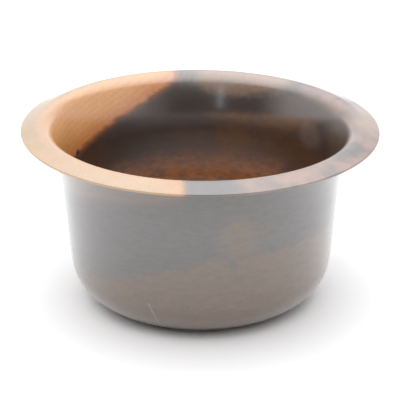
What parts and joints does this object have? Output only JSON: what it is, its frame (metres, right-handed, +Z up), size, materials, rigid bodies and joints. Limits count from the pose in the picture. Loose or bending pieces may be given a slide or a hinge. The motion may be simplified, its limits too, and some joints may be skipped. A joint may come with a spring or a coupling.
{
  "type": "shaving mug",
  "caption": "Turned wooden shaving bowl with a flared, thin-edged rim, tapered wall, rounded lower corner and non-slip pad under the base.",
  "frame": {"origin": "centre of the resting plane, under the pad", "axes": "+Z up along the axis of turning, out of the mouth; -Y faces the viewer, +X to the viewer's right"},
  "size_m": [0.12, 0.12, 0.0616],
  "materials": {
    "lacquered_wood": "clear satin lacquer over two-tone hardwood: dark brown heartwood, pale amber sapwood",
    "rubber_pad": "matt, fine pebbled"
  },
  "bodies": {
    "root": {"turned_bowl": "lacquered_wood", "base_pad": "rubber_pad"}
  },
  "joints": []
}
